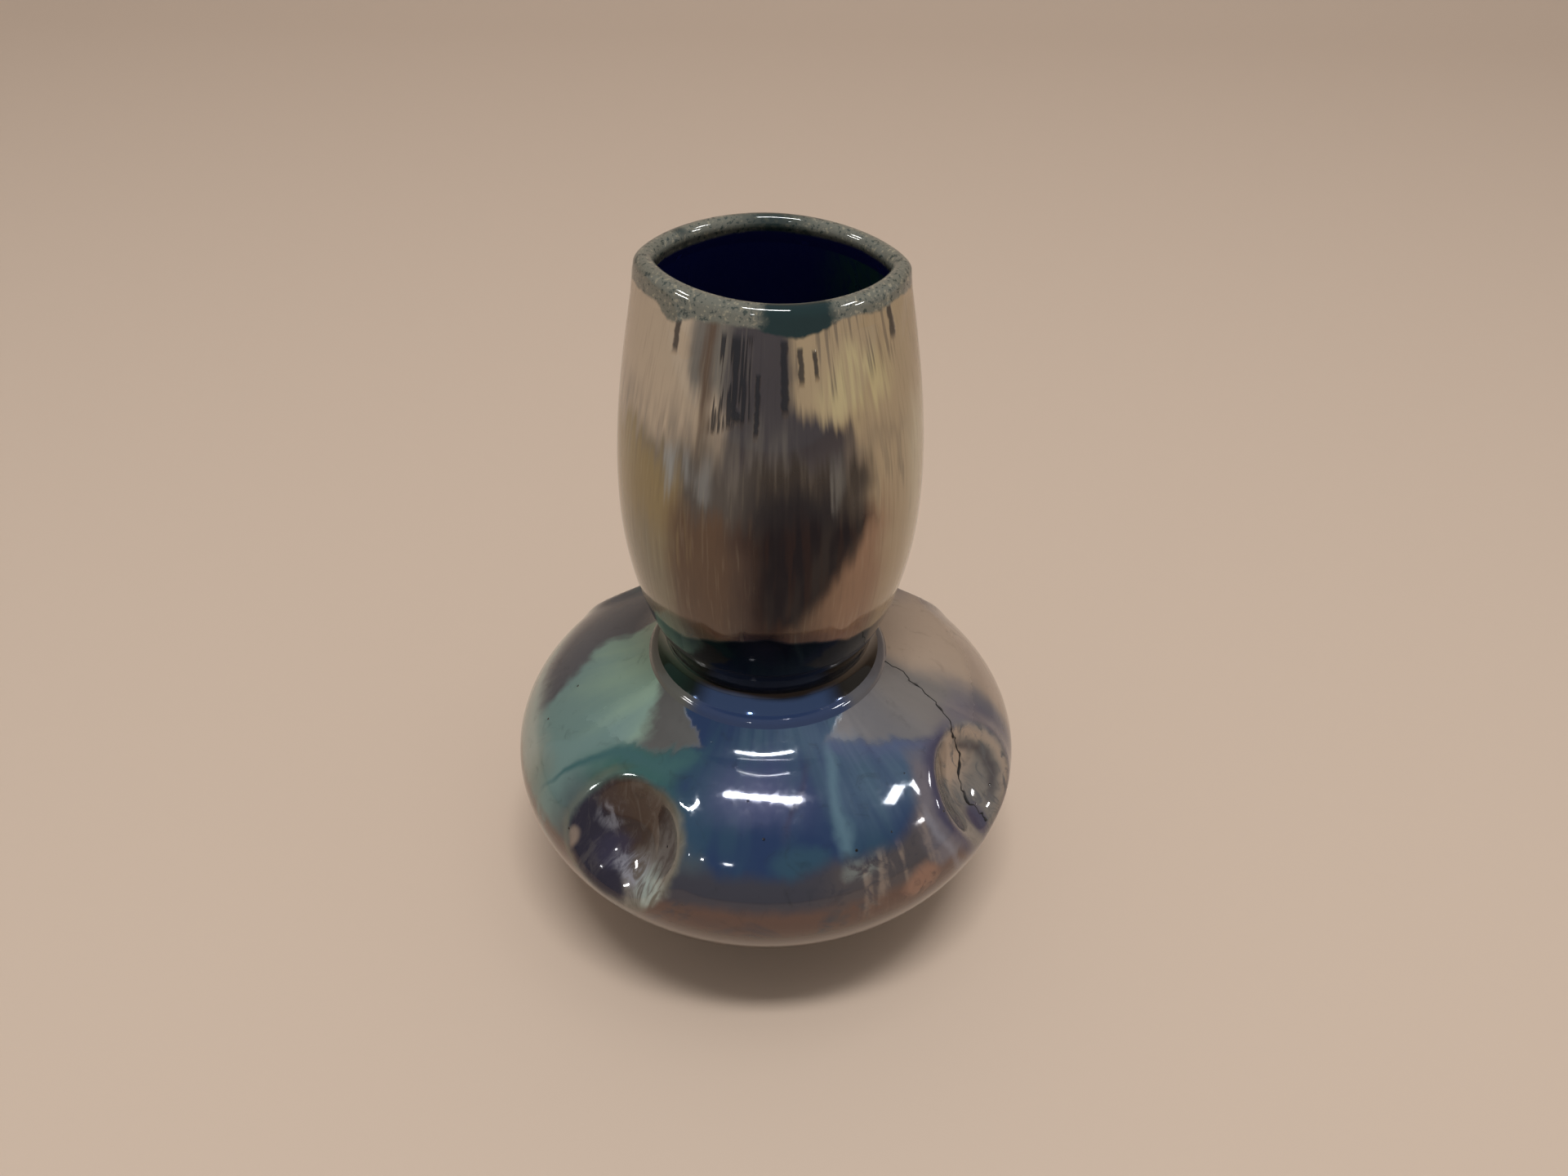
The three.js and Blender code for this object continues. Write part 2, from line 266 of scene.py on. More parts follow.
def wallAt(height):
    lipWall = outlineSizes["lipWidth"] - 2 * clayDepth
    steps = [(heights["shoulder"], outlineSizes["bodyWall"]),
             (heights["waist"], outlineSizes["waistWall"]), (heights["lip"], lipWall)]
    if height <= steps[0][0]:
        return steps[0][1]
    lower, upper = steps[:2] if height <= steps[1][0] else steps[1:]
    share = (height - lower[0]) / (upper[0] - lower[0])
    return lower[1] + (upper[1] - lower[1]) * share


def clayInside(height):
    return clayDepth + wallAt(height)


def liningOutside(height):
    return clayInside(height) + outlineSizes["gap"]


def liningInside(height):
    return liningOutside(height) + outlineSizes["glaze"]


# Pressing: the dimples and the pinched mouth, as a rule on points

pressSizes = {
    "Dimple turn 1": 52.0,
    "Dimple turn 2": 130.0,
    "Dimple turn 3": 237.0,
    "Dimple turn 4": 330.0,
    "Dimple height": 41.7,
    "Dimple radius": 10.3,
    "Dimple depth": 5.2,
    "Dimple fullness": 2.4,
    "Rim height": 0.7,
    "Rim width": 1.7,
    "Dimple reach": 14.0,
    "Lip height": heights["lip"],
    "Pinch depth": 3.5,
    "Pinch height": 30.0,
    "Pinch fullness": 1.4,
    "Pinch onset": 1.5,
    "Tip softness": 0.07,
    "Lip lift": 1.25,
    "Lip lift turn": 120.0,
    "Unevenness": 0.05,
    "Seed": 7.0,
}


def dimpleSeat():  # the middle of a dimple on the outline and the way out of it
    point, along, inward = station("shoulder", shareAt("shoulder", pressSizes["Dimple height"]))
    return point, -inward


def foldedPlace(nodes, x, y, size):  # a point as seen from the nearest dimple, and that one's turn
    around = nodes.maths("ARCTAN2", y, x) * math.degrees(1)
    nearest = 360.0
    for i in range(4):
        apart = nodes.maths("WRAP", around - size[f"Dimple turn {i + 1}"], 180.0, -180.0)
        closer = nodes.maths("LESS_THAN", abs(apart), abs(nearest))
        nearest = nearest + (apart - nearest) * closer
    radius = (x * x + y * y).root()
    angle = nearest * math.radians(1)
    return radius * nodes.maths("COSINE", angle), radius * nodes.maths("SINE", angle), around - nearest


def upSlope(nodes, away, outward):  # how far up the wall a point lies from the dimple's middle
    return nodes.vectorMaths("DOT_PRODUCT", away, (-outward.y, 0.0, outward.x))


def pressedPosition(nodes, position, size):
    x, y, z = nodes.split(nodes.scaled(position, 1 / metre))
    radius = (x * x + y * y).root()
    sine = abs(y / radius.atLeast(0.001))
    soft = size["Tip softness"]
    side = (sine * sine + soft * soft).root() - soft
    lens = 1 - (1 - side.atMost(1.0)) ** size["Pinch fullness"]
    rise = ((z - size["Lip height"]) / size["Pinch height"] + 1).atLeast(0.0)
    strength = rise ** size["Pinch onset"]
    pinched = 1 - size["Pinch depth"] * lens * strength / radius.atLeast(1.0)
    away = nodes.maths("ARCTAN2", y, x) - size["Lip lift turn"] * math.radians(1)
    z = z + size["Lip lift"] * (1 + nodes.maths("COSINE", away)) * strength / 2
    x, y = x * pinched, y * pinched

    seat, outward = dimpleSeat()
    ahead, aside, turn = foldedPlace(nodes, x, y, size)
    away = nodes.joined(ahead - seat.x, aside, z - seat.y)
    axis = nodes.joined(outward.x, 0.0, outward.y)
    along = nodes.vectorMaths("DOT_PRODUCT", away, axis)
    distance = nodes.vectorMaths("LENGTH", nodes.vectorMaths("SUBTRACT", away, nodes.scaled(axis, along)))
    share = (distance / size["Dimple radius"]).atMost(1.0)
    bowl = (1 - share ** size["Dimple fullness"]) ** 2.0
    rim = (distance - size["Dimple radius"]) / size["Rim width"]
    highness = upSlope(nodes, away, outward) / distance.atLeast(0.001) + 1
    raised = nodes.maths("EXPONENT", 0 - rim * rim) * highness / 2
    shift = size["Rim height"] * raised - size["Dimple depth"] * bowl
    near = along.smooth(size["Dimple reach"] * -2, size["Dimple reach"] * -1)
    drift = nodes.scaled(axis, shift * near)
    turned = {"rotation_type": "Z_AXIS"}
    drift = nodes.add("ShaderNodeVectorRotate", turned, {"Vector": drift, "Angle": turn * math.radians(1)})
    pressed = nodes.vectorMaths("ADD", nodes.joined(x, y, z), drift)

    values = {"Vector": position, "Scale": 32.0, "Detail": 1.0, "W": size["Seed"]}
    wander = nodes.add("ShaderNodeTexNoise", {"noise_dimensions": "4D"}, values) - 0.5
    level = nodes.vectorMaths("NORMALIZE", nodes.joined(x, y, 0.0))
    pressed = nodes.vectorMaths("ADD", pressed, nodes.scaled(level, wander * size["Unevenness"]))
    return nodes.scaled(pressed, metre)


def geometryTree(name, sizes):  # a tree with one named input for each size
    tree = bpy.data.node_groups.new(name, "GeometryNodeTree")
    tree.interface.new_socket(name="Geometry", in_out="INPUT", socket_type="NodeSocketGeometry")
    tree.interface.new_socket(name="Geometry", in_out="OUTPUT", socket_type="NodeSocketGeometry")
    identifiers = {}
    for key, size in sizes.items():
        item = tree.interface.new_socket(name=key, in_out="INPUT", socket_type="NodeSocketFloat")
        item.default_value = size
        identifiers[key] = item.identifier
    nodes = NodeMaker(tree)
    given = nodes.add("NodeGroupInput", {}, {})
    return nodes, given, {key: given.also(key) for key in sizes}, identifiers


def closeTree(nodes, geometry, material):
    geometry = nodes.add("GeometryNodeSetShadeSmooth", {}, {"Geometry": geometry})
    geometry = nodes.add("GeometryNodeRealizeInstances", {}, {"Geometry": geometry})
    geometry = nodes.add("GeometryNodeSetMaterial", {}, {"Geometry": geometry, "Material": material})
    nodes.add("NodeGroupOutput", {}, {0: geometry})


def madePlain(piece, tree, sizes, identifiers):  # the tree's result as a plain mesh
    modifier = piece.modifiers.new(tree.name, "NODES")
    modifier.node_group = tree
    for key, size in sizes.items():
        modifier[identifiers[key]] = float(size)
    evaluated = piece.evaluated_get(bpy.context.evaluated_depsgraph_get())
    mesh = bpy.data.meshes.new_from_object(evaluated)
    mesh.name = piece.name
    plain = bpy.data.objects.new(piece.name + "Made", mesh)
    scene.collection.objects.link(plain)
    name = piece.name
    bpy.data.objects.remove(piece)
    plain.name = name
    return plain


def pressed(piece, material):
    nodes, given, size, identifiers = geometryTree("press " + piece.name, pressSizes)
    position = nodes.add("GeometryNodeInputPosition", {}, {})
    values = {"Geometry": given, "Position": pressedPosition(nodes, position, size)}
    moved = nodes.add("GeometryNodeSetPosition", {}, values)
    closeTree(nodes, moved, material)
    return madePlain(piece, nodes.nodeTree, pressSizes, identifiers)


# Turning: a section carried round the axis

def turned(name, section, columns):  # one section for all columns, or a rule that gives each its own
    points, faces = [], []
    rows = 0
    for i in range(columns):
        angle = 2 * math.pi * i / columns
        aside, ahead = math.cos(angle) * metre, math.sin(angle) * metre
        column = section(angle) if callable(section) else section
        rows = len(column)
        points += [(p.x * aside, p.x * ahead, p.y * metre) for p in column]
    closed = points[0][0] != 0 or points[rows - 1][0] != 0  # else both ends are on the axis
    for i in range(columns):
        here, there = i * rows, (i + 1) % columns * rows
        for j in range(rows if closed else rows - 1):
            k = (j + 1) % rows
            faces.append((here + j, there + j, there + k, here + k))
    mesh = bpy.data.meshes.new(name)
    mesh.from_pydata(points, [], faces)
    shape = bmesh.new()
    shape.from_mesh(mesh)
    bmesh.ops.remove_doubles(shape, verts=shape.verts, dist=1e-7)
    bmesh.ops.recalc_face_normals(shape, faces=shape.faces)
    shape.to_mesh(mesh)
    shape.free()
    piece = bpy.data.objects.new(name, mesh)
    scene.collection.objects.link(piece)
    return piece


def shell(outerPlaces, innerPlaces, outerDepth, innerDepth):
    return inset(outerPlaces, outerDepth) + inset(innerPlaces, innerDepth)[::-1]


def levelLine(radius, height):  # from the axis out
    return [Vector((0, height)), Vector((radius, height))]


# Glaze colours by place on the vase: turns from the front, positive to the right, and heights

def vasePlace(nodes):
    coordinates = nodes.add("ShaderNodeTexCoord", {}, {}, "Object")
    point = nodes.scaled(coordinates, 1 / metre)
    x, y, z = nodes.split(point)
    turn = nodes.maths("ARCTAN2", x, 0 - y) * math.degrees(1)
    radius = (x * x + y * y).root().atLeast(0.001)
    return SimpleNamespace(point=point, x=x, y=y, z=z, turn=turn, radius=radius)


def streaks(nodes, place, around, upward, detail=3.0):  # noise drawn out down the wall
    drawn = nodes.joined(place.x / place.radius, place.y / place.radius, place.z * upward)
    return nodes.noise(drawn, around, detail, 0.55)


def spot(turn, height, atTurn, atHeight, wide, tall):  # 1 at its middle, 0 outside
    across = (turn - atTurn) / wide
    upward = (height - atHeight) / tall
    return (across * across + upward * upward).root().smooth(1.0, 0.35)


bellyTones = {
    "blue": tone(26, 50, 88),
    "teal": tone(96, 126, 140),
    "deepTeal": tone(40, 72, 92),
    "violet": tone(98, 100, 136),
    "haze": tone(90, 112, 132),
    "grey": tone(112, 109, 111),
    "green": tone(128, 152, 134),
    "seaGreen": tone(106, 132, 128),
    "seaDark": tone(50, 92, 86),
    "dusk": tone(74, 76, 82),
    "brown": tone(72, 71, 69),
    "darkTeal": tone(56, 94, 96),
    "slate": tone(56, 56, 66),
    "rose": tone(98, 71, 59),
    "sand": tone(88, 73, 63),
    "cream": tone(166, 146, 128),
    "mottle": tone(74, 68, 70),
    "ridge": tone(112, 106, 114),
    "orange": tone(142, 106, 88),
    "umber": tone(60, 43, 33),
    "ink": tone(34, 30, 46),
    "plum": tone(58, 54, 80),
    "ash": tone(120, 113, 106),
    "lilac": tone(142, 142, 152),
    "glint": tone(166, 178, 170),
    "moss": tone(112, 116, 102),
    "pale": tone(152, 158, 148),
    "black": tone(10, 10, 12),
}


def bellyField(nodes, place):
    turn, height, cloud = place.softTurn, place.softHeight, place.cloud
    broad, narrow = place.broad, place.narrow
    over50 = (height - 50.0).atLeast(0.0)

    # Blue in front with teal streaks, violet painted where the lamps' highlight falls, sea green behind
    colour = nodes.paint("blue").coat("deepTeal", broad.smooth(0.42, 0.66) * 0.7)
    # painted sheen: pale haze laid along the highlights' height at the right
    sheen = turn.smooth(11.0, 24.0) * turn.smooth(58.0, 46.0) * height.hump(48.0, 5.0)
    colour.coat("haze", sheen * (0.4 + narrow.smooth(0.3, 0.7) * 0.28))
    runTurn = turn - 18.8 - (height - 47.5).atLeast(0.0) * 1.45
    run = runTurn.hump(0.0, 3.4) * height.smooth(42.4, 43.8) * height.smooth(52.0, 50.0)
    colour.coat("teal", run * 0.65)
    colour.coat("deepTeal", spot(turn, height, 8.0, 43.2, 9.0, 2.4) * 0.9)
    # painted highlight tint: violet around the main highlight
    colour.coat("violet", height.hump(48.6, 3.4) * turn.hump(-2.0, 24.0) * 0.65)
    threadTurn = turn - 5.0 - (height - 46.6).atLeast(0.0) * 2.7
    colour.coat("plum", threadTurn.hump(0.0, 2.2) * height.hump(48.2, 4.0) * 0.55)
    leftEdge = turn + over50 * 5.5 - (49.0 - height).atLeast(0.0) * 1.8
    leftward = leftEdge.smooth(-23.0, -31.0)
    nearDimple = nodes.paint("seaDark").coat("deepTeal", turn.smooth(-40.0, -28.0) * 0.8)
    nearDimple.coat("dusk", height.smooth(47.0, 43.5) * 0.7)
    colour.coat(nearDimple.coat("seaGreen", turn.smooth(-46.0, -60.0)), leftward)
    nearCollar = height.smooth(48.8, 51.8) * abs(turn - 14.0).smooth(36.0, 20.0)
    nearCollar = nearCollar * (0.1 + turn.smooth(-4.0, 12.0) * 0.25 + narrow.smooth(0.3, 0.6) * 0.15)
    colour.coat("haze", nearCollar)
    far = abs(turn).smooth(95.0, 130.0)
    colour.coat("grey", far * cloud.smooth(0.48, 0.62))
    colour.coat("seaGreen", far * cloud.smooth(0.48, 0.36))

    # Grey patch at the right, under the collar, with a dusky violet line along its edge
    over51 = (height - 51.0).atLeast(0.0)
    patchHeight = height + turn.smooth(28.0, 80.0) * 5.5
    sides = (turn - over51 * 8).smooth(20.0, 26.0) * turn.smooth(150.0, 120.0)
    colour.coat("violet", patchHeight.hump(50.6, 1.5) * sides * turn.smooth(70.0, 58.0) * 0.35)
    patch = sides * patchHeight.smooth(50.5, 52.0)
    greys = nodes.paint("grey").coat("dusk", broad.smooth(0.62, 0.4) * 0.3)
    greys.coat("ash", turn.smooth(50.0, 66.0) * 0.6)
    greys.coat("cream", turn.smooth(82.0, 98.0) * 0.9)
    colour.coat(greys, patch)
    colour.coat("cream", turn.smooth(78.0, 92.0) * turn.smooth(140.0, 110.0) * 0.9)

    # Green patch at the left, the greyer one before it and the dusky band behind it
    green = (turn + over50 * 6).smooth(-40.0, -50.0) * (height - (turn + 64.0) * 0.2).smooth(44.5, 46.5)
    meadow = nodes.paint("green").coat("seaGreen", (height + broad * 8.0).smooth(57.0, 50.0))
    brown = (turn + over50 * 5.5).smooth(-21.0, -25.0) * turn.smooth(-72.0, -60.0)
    brown = brown * (height - (turn + 36.0) * 0.07).smooth(49.4, 50.2)
    colour.coat("brown", brown)
    colour.coat(meadow, green)
    leftLine = 0 - turn - (height - 44.5).atLeast(0.0) * 3.4
    dusky = leftLine.smooth(77.0, 84.0) * turn.smooth(-160.0, -125.0) * height.smooth(41.6, 43.6)
    colour.coat("dusk", dusky)
    moss = turn.smooth(-56.0, -70.0) * turn.smooth(-150.0, -120.0) * height.smooth(45.0, 41.0)
    leftLow = nodes.paint("moss").coat("pale", turn.smooth(-60.0, -74.0))
    leftLow.coat("moss", height.smooth(39.0, 35.0))
    colour.coat(leftLow, moss * 0.9)
    drop = (-47.0 - turn).atLeast(0.0)
    lens = (height - (turn + 36.0) * 0.05 + drop * drop * 0.04).hump(48.9, 1.3)
    lens = lens * turn.smooth(-63.0, -56.0) * turn.smooth(-20.0, -32.0)
    place.satin = patch.atLeast(brown * (1 - lens))
    return colour.coat("darkTeal", lens)


def lowerBelly(nodes, place, colour):
    turn, height, cloud, mottle = place.softTurn, place.softHeight, place.cloud, place.mottle

    # Slate under the blue, pale streaks at its right, then the rosy belt and sand at the foot
    right = turn.smooth(5.0, 16.0)
    beyond28 = (turn - 28.0).atLeast(0.0)
    edge = 41.6 + right * 1.0 + (beyond28 * beyond28 * 0.018).atMost(5.4)
    below = (height - edge).smooth(1.2, -1.2)
    pale = (place.narrow + (mottle - 0.5) * 0.5).smooth(0.5, 0.72) * right
    lower = nodes.paint("slate").coat("mottle", right)
    lower.coat("cream", pale * 0.4)
    lower.coat("slate", mottle.smooth(0.48, 0.36) * 0.45)
    lower.coat("slate", turn.hump(9.0, 8.0) * 0.6)
    # painted glint: a small pale spot
    lower.coat("glint", spot(turn, height, 21.0, 41.6, 6.0, 1.8) * mottle.smooth(0.4, 0.6) * 0.25)
    lower.coat("ridge", turn.smooth(34.0, 44.0) * 0.8)
    colour.coat(lower, below * turn.smooth(-52.0, -40.0) * turn.smooth(90.0, 74.0))
    colour.coat("rose", height.smooth(38.2, 35.8) * cloud.smooth(0.3, 0.48) * 0.85)
    colour.coat("orange", spot(turn, height, 34.5, 36.0, 7.0, 3.4) * mottle.smooth(0.34, 0.56) * 0.9)
    return colour.coat("sand", height.smooth(33.5, 30.0) * 0.85)


def dimpleColour(nodes, place, colour):
    seat, outward = dimpleSeat()
    ahead, aside, _ = foldedPlace(nodes, place.x, place.y, pressSizes)
    away = nodes.joined(ahead - seat.x, aside, place.z - seat.y)
    upward = upSlope(nodes, away, outward)
    flat = nodes.joined(aside, upward, place.turn.smooth(0.0, 30.0) * 20.0)
    warp = nodes.noise(flat, 0.16, 3.0, 0.55)
    curl = nodes.noise(flat, 0.1, 3.0, 0.55)
    fibre = nodes.noise(nodes.joined(aside * 0.3, upward * 0.14, 3.0), 1.0, 4.0, 0.6, 2.4)
    distance = (aside * aside + upward * upward).root() + (warp - 0.5) * 3.0
    across = aside + (warp - 0.5) * 6.0
    upward = upward + (curl - 0.5) * 6.0
    left = place.turn.smooth(12.0, 8.0)

    # Left one: umber above, near black at its left and low down, ash at its right, pale marbling with painted
    # glints at its foot
    marbled = fibre.smooth(0.38, 0.62)
    bowl = nodes.paint("umber").coat("ink", (across + upward * 0.7).smooth(1.0, -6.0))
    bowl.coat("ash", fibre.smooth(0.48, 0.68) * 0.2)
    bowl.coat("ash", (across - upward * 0.35).smooth(-0.5, 4.5) * (0.55 + marbled * 0.45))
    bowl.coat("moss", distance.hump(9.8, 2.2) * aside.smooth(-5.0, 4.0) * 0.45)
    bowl.coat("plum", spot(across, upward, -3.0, -2.4, 4.6, 4.0) * 0.4)
    # lilac marbling, partly painted glint, then a painted pale teal glint low in the bowl
    bowl.coat("lilac", spot(across, upward, 1.0, -3.4, 5.0, 3.4) * marbled * 0.75)
    bowl.coat("glint", spot(across, upward, 6.0, -4.8, 4.4, 4.6) * marbled * 0.8)
    bowl.coat("ink", spot(across, upward, -1.6, -7.4, 4.0, 3.2) * 0.95)
    # painted glint: a pale streak at the bowl's left
    bowl.coat("lilac", spot(across, upward, -5.0, 2.4, 2.4, 3.4) * marbled * 0.45)
    bowl.coat("cream", spot(aside, upward, -9.2, -3.4, 1.4, 2.4) * 0.6)
    leftRim = nodes.paint("seaDark").coat("moss", abs(aside).smooth(3.0, 8.0))

    # Right one: ash with cream above, dark and cream arcs at its right, plum low down and upper left
    pale = nodes.paint("ash").coat("dusk", fibre.smooth(0.54, 0.38) * 0.6)
    pale.coat("cream", spot(across, upward, 1.6, 4.4, 4.8, 6.4) * fibre.smooth(0.3, 0.5))
    pale.coat("mottle", aside.smooth(-3.0, -8.0) * 0.35)
    arcs = across.smooth(1.0, 5.0) * upward.smooth(-9.0, -3.0) * fibre.smooth(0.34, 0.52)
    pale.coat("mottle", distance.hump(7.0, 1.5) * arcs * 0.9)
    pale.coat("cream", distance.hump(8.9, 1.2) * arcs * 0.8)
    pale.coat("plum", spot(across, upward, -1.0, -6.0, 3.6, 4.2) * 0.85)
    colour.coat(leftRim, distance.hump(10.8, 1.8) * aside.smooth(7.0, 0.0) * left * 0.45)
    colour.coat(pale.coat(bowl, left), distance.smooth(10.8, 9.2))
    rightRim = aside.smooth(6.0, -1.0) * (1 - left) * place.turn.smooth(104.0, 94.0)
    colour.coat("plum", distance.hump(10.2, 1.7) * rightRim * 0.85)
    return colour.coat("lilac", distance.hump(12.6, 1.0) * rightRim * upward.smooth(7.0, 3.0) * 0.4)


def bellyColour(nodes, place):
    waver = nodes.noise(place.point, 0.14, 2.0) - 0.5
    fine = nodes.noise(place.point, 0.6, 3.0) - 0.5
    place.broad = streaks(nodes, place, 6.0, 0.012, 2.0)
    place.narrow = streaks(nodes, place, 17.0, 0.006, 2.0)
    place.softTurn = place.turn + waver * 9 + fine * 1.6
    place.softHeight = place.z + waver * 2.2 + fine * 0.6 + (place.narrow - 0.5) * 0.9
    place.cloud = nodes.noise(place.point, 0.07, 3.0, 0.6, 1.5)
    place.mottle = nodes.noise(place.point, 0.32, 4.0, 0.6, 0.8)
    colour = lowerBelly(nodes, place, bellyField(nodes, place))
    colour = dimpleColour(nodes, place, colour)

    # Fine mottling and pits
    colour.coat("black", place.mottle.smooth(0.45, 0.2) * 0.3)
    dots = nodes.add("ShaderNodeTexVoronoi", {}, {"Vector": place.point, "Scale": 0.28})
    size = nodes.noise(place.point, 0.2, 1.0)
    pits = dots.smooth(0.075, 0.045) * size.smooth(0.52, 0.56) * place.z.smooth(53.0, 44.0)
    return {"colour": colour.coat("black", pits), "pits": pits, "satin": place.satin}


neckTones = {
    # black: the neck foot's dark glaze with a painted dark reflection
    "black": tone(38, 35, 34),
    "footOlive": tone(66, 62, 58),
    "darkGreen": tone(44, 66, 58),
    # collar: the belly's blue painted lighter, as painted light on the collar's front
    "collar": tone(82, 104, 147),
    "orange": tone(143, 110, 85),
    "brown": tone(88, 65, 47),
    "umber": tone(60, 42, 36),
    "night": tone(30, 27, 34),
    "steel": tone(44, 43, 48),
    "stone": tone(112, 106, 98),
    "olive": tone(126, 118, 96),
    "ochre": tone(140, 122, 84),
    "yellow": tone(198, 183, 138),
    "rose": tone(184, 166, 144),
    "tan": tone(168, 148, 118),
    "mauve": tone(66, 61, 64),
    "mist": tone(150, 154, 154),
    "greyOlive": tone(76, 71, 67),
    "pale": tone(190, 178, 150),
    "lip": tone(112, 112, 102),
    "lipDark": tone(20, 44, 46),
    "ink": tone(20, 22, 30),
    "cobalt": tone(24, 28, 84),
}

neckRuns = (  # dark glaze that ran down from the lip: turn, top, lowest height, half width
    (-45.0, 117.0, 113.0, 2.0), (-5.5, 112.0, 104.5, 1.3), (5.5, 116.0, 107.5, 2.0),
    (12.5, 115.0, 111.0, 1.5), (61.0, 117.5, 113.6, 2.2), (19.0, 114.5, 111.5, 1.2),
    (108.0, 117.0, 110.0, 2.6), (-118.0, 117.0, 111.0, 2.2), (160.0, 117.0, 112.0, 3.0),
)

neckBlooms = (  # turn, height, strength
    (-40.0, 97.5, 0.8), (-23.0, 99.0, 0.4), (-31.0, 101.0, 0.5), (25.0, 99.5, 0.35),
)


def neckWall(nodes, place):
    turn, height, wide = place.softTurn, place.softHeight, place.wide
    broad, narrow = place.broad, place.narrow

    # Lower part: ochre and olive at the left, then brown, near black to a slanting line, tan past it
    colour = nodes.paint("ochre").coat("olive", height.smooth(92.0, 80.0))
    colour.coat("brown", turn.smooth(-44.0, -32.0))
    colour.coat("ochre", narrow.smooth(0.5, 0.7) * turn.hump(-34.0, 14.0) * height.hump(90.0, 9.0) * 0.7)
    colour.coat("umber", turn.smooth(-20.0, -8.0))
    colour.coat("night", turn.smooth(-10.0, 2.0) * height.smooth(72.5, 77.0))
    slant = place.edgeTurn - 13.0 - ((place.edgeHeight - 77.0) * 1.7).atMost(24.0)
    warm = nodes.paint("orange").coat("tan", turn.smooth(36.0, 54.0))
    warm = nodes.paint("brown").coat(warm, turn.smooth(12.0, 32.0))
    beyond = slant.smooth(-5.0, 7.0)
    colour.coat(warm, beyond)
    deep = turn.smooth(-14.0, 0.0) * (1 - beyond)
    colour.coat("greyOlive", broad.smooth(0.48, 0.68) * deep * 0.35)
    colour.coat("umber", narrow.smooth(0.5, 0.66) * deep * 0.4)
    # painted reflection of the floor at the neck's sides
    sideReflection = wide.smooth(54.0, 70.0)

    # Middle: olive grey and stone grey with pale blooms at the left, near black in front, steel at the right
    middle = nodes.paint("ochre").coat("stone", (height + turn * 0.2).smooth(84.0, 94.0))
    middle.coat("greyOlive", turn.smooth(-38.0, -28.0))
    middle.coat("steel", turn.smooth(-14.0, -2.0) * height.smooth(101.0, 94.0))
    middle.coat("greyOlive", turn.smooth(22.0, 32.0))
    middle.coat("stone", narrow.smooth(0.5, 0.7) * height.smooth(95.0, 101.0) * 0.5)
    middle.coat("tan", turn.smooth(34.0, 44.0) * (1 - 0.3 * narrow.smooth(0.5, 0.6)))
    for atTurn, atHeight, strength in neckBlooms:
        bloom = spot(turn, height, atTurn, atHeight, 5.0, 6.5)
        middle.coat("mist", bloom * narrow.smooth(0.3, 0.6) * strength)
    colour.coat(middle, height.smooth(90.0, 96.0))

    # Below the lip: rosy at the left, mauve in front, tan and yellow at the right, partly glaze and partly a
    # painted reflection of the floor toward the sides
    upper = nodes.paint("rose").coat("stone", turn.smooth(-40.0, -32.0) * height.smooth(106.0, 112.0))
    upper.coat("brown", turn.hump(-27.0, 5.0) * 0.8)
    upper.coat("mauve", turn.smooth(-22.0, -15.0))
    upper.coat("stone", height.smooth(109.0, 104.0) * narrow.smooth(0.3, 0.7) * 0.6)
    upper.coat("greyOlive", turn.hump(-27.0, 12.0) * height.smooth(106.0, 101.0) * 0.7)
    warm = nodes.paint("mauve").coat("tan", turn.smooth(26.0, 40.0) * 0.75)
    warm.coat("tan", (height - turn.smooth(40.0, 14.0) * 4).smooth(102.0, 105.5))
    warm.coat("yellow", spot(turn, height, 38.0, 110.0, 25.0, 5.8) * narrow.smooth(0.28, 0.56) * 0.75)
    warm.coat("mauve", narrow.smooth(0.54, 0.66) * height.smooth(109.0, 113.0) * 0.5)
    upper.coat(warm, turn.smooth(5.0, 13.0))
    # painted reflection of the floor: tan at the neck's sides
    upper.coat("tan", wide.smooth(54.0, 70.0) * turn.smooth(-30.0, 30.0))
    share = height.smooth(98.5, 103.0)
    colour.coat(upper, share)
    # painted reflection of the floor: pale at the neck's sides
    colour.coat("pale", sideReflection * height.smooth(108.0, 96.0) * turn.smooth(-110.0, 40.0))
    colour.coat("night", place.thread.smooth(0.54, 0.74) * 0.12)
    pale = place.thread.smooth(0.44, 0.28) * (1 - deep) * 0.08
    return colour.coat("pale", pale), deep * (1 - share)


